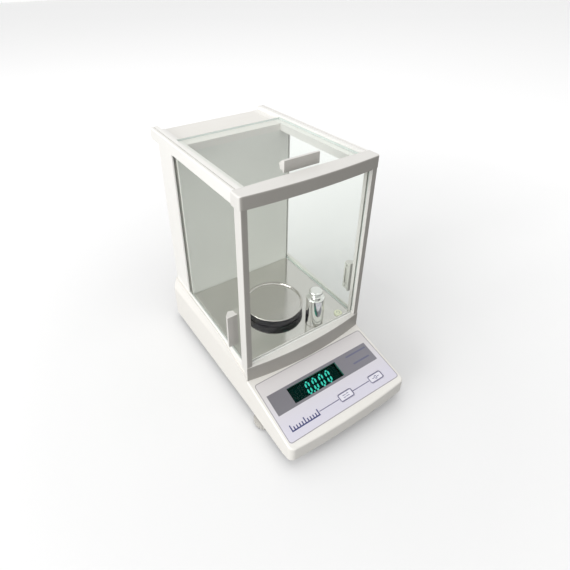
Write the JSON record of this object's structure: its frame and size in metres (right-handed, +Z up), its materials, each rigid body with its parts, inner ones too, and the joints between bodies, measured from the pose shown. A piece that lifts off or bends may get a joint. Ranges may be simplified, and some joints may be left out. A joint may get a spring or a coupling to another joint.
{
  "type": "analytical balance",
  "caption": "Analytical balance with a sliding-door glass draught shield, round steel pan, sloping key panel with a green numeric display, and levelling feet.",
  "frame": {"origin": "on the bench, under the middle of the bounding box", "axes": "+Z up, the control panel faces -Y, +X is the right-hand side seen from the front"},
  "size_m": [0.2252, 0.371, 0.3612],
  "materials": {
    "housing_plastic": "moulded ABS, fine satin texture",
    "frame_paint": "powder coated, smooth satin",
    "wall_paint": "grey-green paint, satin",
    "polished_steel": "mirror polished stainless steel",
    "weight_chrome": "turned and polished",
    "pane_glass": "clear float glass with polished edges",
    "handle_plastic": "moulded, satin gloss",
    "overlay_film": "printed polyester film",
    "key_film": "printed polyester film on a moulded key",
    "window_filter": "dark green acrylic filter",
    "display_glass": "vacuum fluorescent tube",
    "black_plastic": "moulded, satin",
    "vial_acrylic": "clear acrylic over a tinted bubble level",
    "seal_silicone": "white extruded silicone",
    "foot_plastic": "moulded, knurled rim",
    "foot_rubber": "moulded",
    "cast_aluminium": "die cast and machined",
    "spring_steel": "rolled strip",
    "zinc_steel": "zinc plated",
    "magnet_steel": "ground soft iron",
    "coil_copper": "enamelled copper wire",
    "circuit_board": "solder masked laminate",
    "component_plastic": "moulded",
    "cable_jacket": "flat ribbon",
    "transformer_iron": "laminated core with taped winding"
  },
  "bodies": {
    "base": {"base_housing": "housing_plastic", "bottom_plate": "zinc_steel", "rear_feet": "foot_rubber", "keypad_overlay": "overlay_film", "display_window": "window_filter", "display_tube": "display_glass", "display_board": "circuit_board", "key_switches": "component_plastic", "floor_plate": "polished_steel", "stem_collar": "black_plastic", "level_vial": "vial_acrylic", "mechanism_base": "cast_aluminium", "parallel_guides": "spring_steel", "lever_pin": "spring_steel", "magnet_pot": "magnet_steel", "position_sensor": "black_plastic", "main_board": "circuit_board", "board_parts": "component_plastic", "ribbon_cable": "cable_jacket", "transformer": "transformer_iron", "power_inlet": "black_plastic", "switch_housing": "black_plastic", "serial_port": "zinc_steel", "front_bottom_rail": "frame_paint", "front_beam": "frame_paint", "left_post": "frame_paint", "right_post": "frame_paint", "left_top_rail": "frame_paint", "right_top_rail": "frame_paint", "left_bottom_track": "frame_paint", "right_bottom_track": "frame_paint", "left_column_skin": "frame_paint", "right_column_skin": "frame_paint", "rear_column": "housing_plastic", "rear_cover": "housing_plastic", "rear_wall": "wall_paint", "rear_cap": "housing_plastic", "front_glass": "pane_glass", "front_glass_seal": "seal_silicone", "case_screws": "zinc_steel", "left_foot_pad": "foot_rubber", "right_foot_pad": "foot_rubber"},
    "load_receiver": {"load_receiver": "cast_aluminium", "pan_support": "black_plastic"},
    "pan": {"weighing_pan": "polished_steel"},
    "lever": {"lever_beam": "cast_aluminium", "coil": "coil_copper"},
    "tare_key": {"tare_key": "key_film"},
    "mode_key": {"mode_key": "key_film"},
    "power_rocker": {"power_rocker": "black_plastic"},
    "calibration_weight": {"calibration_weight": "weight_chrome"},
    "left_door": {"left_door_glass": "pane_glass", "left_door_handle": "handle_plastic"},
    "right_door": {"right_door_glass": "pane_glass", "right_door_handle": "handle_plastic"},
    "top_door": {"top_door_glass": "pane_glass", "top_door_handle": "handle_plastic"},
    "left_foot_knob": {"left_foot_knob": "foot_plastic"},
    "right_foot_knob": {"right_foot_knob": "foot_plastic"}
  },
  "joints": [
    {"name": "left_door_slide", "type": "slide", "parent": "base", "child": "left_door", "axis": [0, 1, 0], "range_m": [0, 0.135]},
    {"name": "right_door_slide", "type": "slide", "parent": "base", "child": "right_door", "axis": [0, 1, 0], "range_m": [0, 0.135]},
    {"name": "top_door_slide", "type": "slide", "parent": "base", "child": "top_door", "axis": [0, 1, 0], "range_m": [0, 0.135]},
    {"name": "load_travel", "type": "slide", "parent": "base", "child": "load_receiver", "axis": [0, 0, 1], "range_m": [-0.0005, 0], "stiffness_N_per_m": 20000, "springref_m": 0.0002},
    {"name": "lever_turn", "type": "hinge", "parent": "base", "child": "lever", "pos_m": [0, 0.036, 0.047], "axis": [1, 0, 0], "range_deg": [0, 1.7]},
    {"name": "pan_lift", "type": "slide", "parent": "load_receiver", "child": "pan", "axis": [0, 0, 1], "range_m": [0, 0.02]},
    {"name": "weight_lift", "type": "slide", "parent": "base", "child": "calibration_weight", "axis": [0, 0, 1], "range_m": [0, 0.06]},
    {"name": "tare_key_press", "type": "slide", "parent": "base", "child": "tare_key", "axis": [0, 0.2123, -0.9772], "range_m": [0, 0.0005], "stiffness_N_per_m": 1500, "springref_m": -0.0004},
    {"name": "mode_key_press", "type": "slide", "parent": "base", "child": "mode_key", "axis": [0, 0.2123, -0.9772], "range_m": [0, 0.0005], "stiffness_N_per_m": 1500, "springref_m": -0.0004},
    {"name": "power_rocker_tip", "type": "hinge", "parent": "base", "child": "power_rocker", "pos_m": [0.024, 0.1605, 0.038], "axis": [1, 0, 0], "range_deg": [-9, 9]},
    {"name": "left_foot_turn", "type": "hinge", "parent": "base", "child": "left_foot_knob", "pos_m": [-0.09, -0.1065, 0], "axis": [0, 0, 1], "range_deg": [-690, 690]},
    {"name": "right_foot_turn", "type": "hinge", "parent": "base", "child": "right_foot_knob", "pos_m": [0.09, -0.1065, 0], "axis": [0, 0, 1], "range_deg": [-690, 690]}
  ],
  "couplings": [
    {"joint": "lever_turn", "follows": "load_travel", "rad_per_m": -55}
  ]
}
